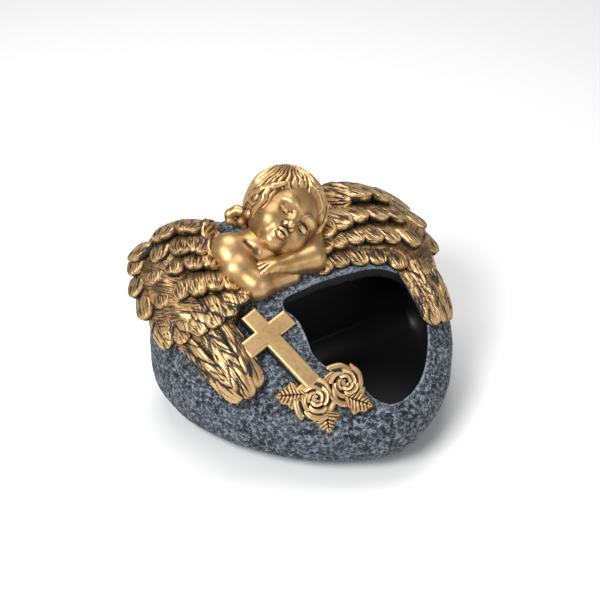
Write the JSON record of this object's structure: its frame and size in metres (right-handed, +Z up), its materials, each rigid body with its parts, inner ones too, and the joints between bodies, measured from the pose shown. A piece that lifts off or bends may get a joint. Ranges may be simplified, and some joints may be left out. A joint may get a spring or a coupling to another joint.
{
  "type": "memorial bowl",
  "caption": "Heart-shaped stone-look resin memorial bowl with a sleeping gilt cherub, feathered wings, a cross and roses around an open planting hollow.",
  "frame": {"origin": "middle of the object's outline, on the plane that the rubber feet stand on", "axes": "+Z up, -Y towards the front tip of the heart, +X towards the cherub's left hand"},
  "size_m": [0.1952, 0.1671, 0.1434],
  "materials": {
    "stone": "cast polyresin painted as pitted blue-grey stone, dry-brushed lighter on the high spots and black in the pits",
    "antique_gold": "cast polyresin in satin antique gold paint, with a black wash left in the recesses",
    "black_lacquer": "smooth semi-gloss black",
    "black_rubber": "matt black rubber"
  },
  "bodies": {
    "root": {"stone_bowl": "stone", "base_plate": "black_lacquer", "foot_pads": "black_rubber", "cherub_torso": "antique_gold", "cherub_head": "antique_gold", "cherub_hair": "antique_gold", "cherub_right_arm": "antique_gold", "cherub_left_arm": "antique_gold", "cherub_left_hand": "antique_gold", "left_wing_blade": "antique_gold", "left_wing_scapulars": "antique_gold", "left_wing_lesser_coverts": "antique_gold", "left_wing_median_coverts": "antique_gold", "left_wing_greater_coverts": "antique_gold", "left_wing_secondaries": "antique_gold", "left_wing_primaries": "antique_gold", "right_wing_blade": "antique_gold", "right_wing_scapulars": "antique_gold", "right_wing_lesser_coverts": "antique_gold", "right_wing_median_coverts": "antique_gold", "right_wing_greater_coverts": "antique_gold", "right_wing_primaries": "antique_gold", "cross": "antique_gold", "rose_left": "antique_gold", "rose_right": "antique_gold", "leaf_left": "antique_gold", "leaf_front": "antique_gold", "leaf_right": "antique_gold"}
  },
  "joints": []
}
